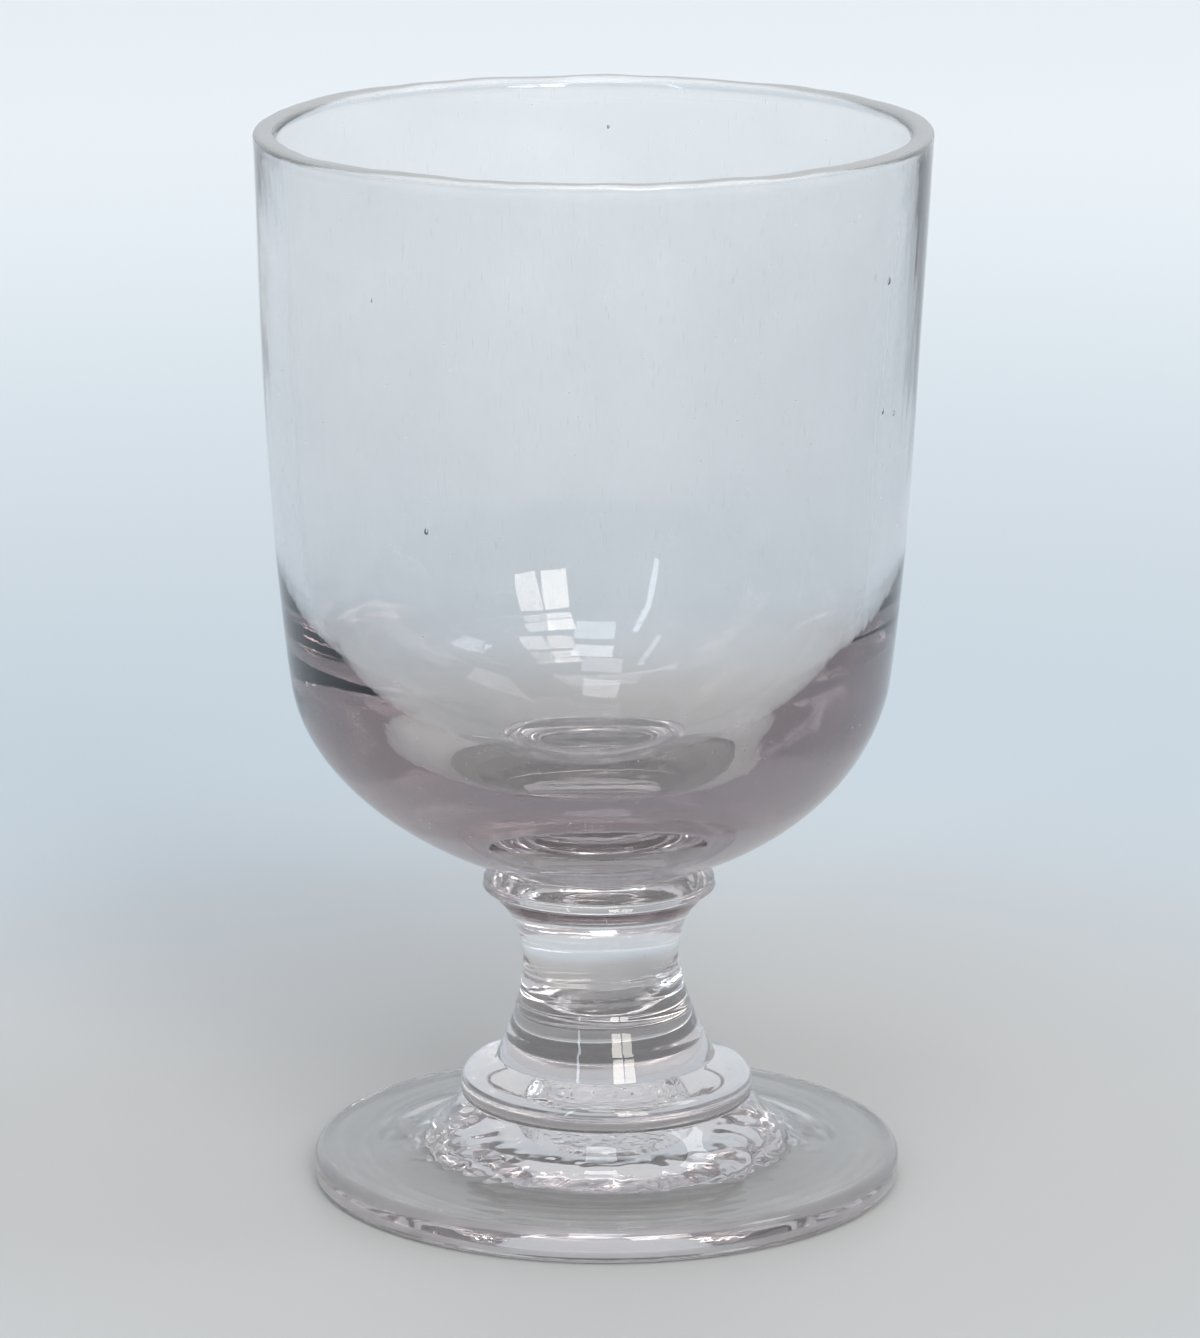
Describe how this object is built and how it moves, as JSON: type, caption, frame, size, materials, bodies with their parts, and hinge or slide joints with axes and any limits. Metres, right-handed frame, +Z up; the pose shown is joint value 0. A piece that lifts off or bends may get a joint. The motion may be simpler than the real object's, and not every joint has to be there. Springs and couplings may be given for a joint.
{
  "type": "rummer",
  "caption": "Short-stemmed rummer in smoky glass: round-based bucket bowl on a collar, a waisted stem, a step disc and a thick domed foot.",
  "frame": {"origin": "middle of the foot, on the surface that the glass stands on", "axes": "+Z up along the glass's axis, from the foot to the rim; the glass is round, so +X and +Y are free"},
  "size_m": [0.087, 0.087, 0.14],
  "materials": {
    "smoky_glass": "clear, fire polished",
    "rough_glass": "broken, rough"
  },
  "bodies": {
    "root": {"foot": "smoky_glass", "pontil_scar": "rough_glass", "step_disc": "smoky_glass", "stem": "smoky_glass", "upper_collar": "smoky_glass", "bowl": "smoky_glass"}
  },
  "joints": []
}
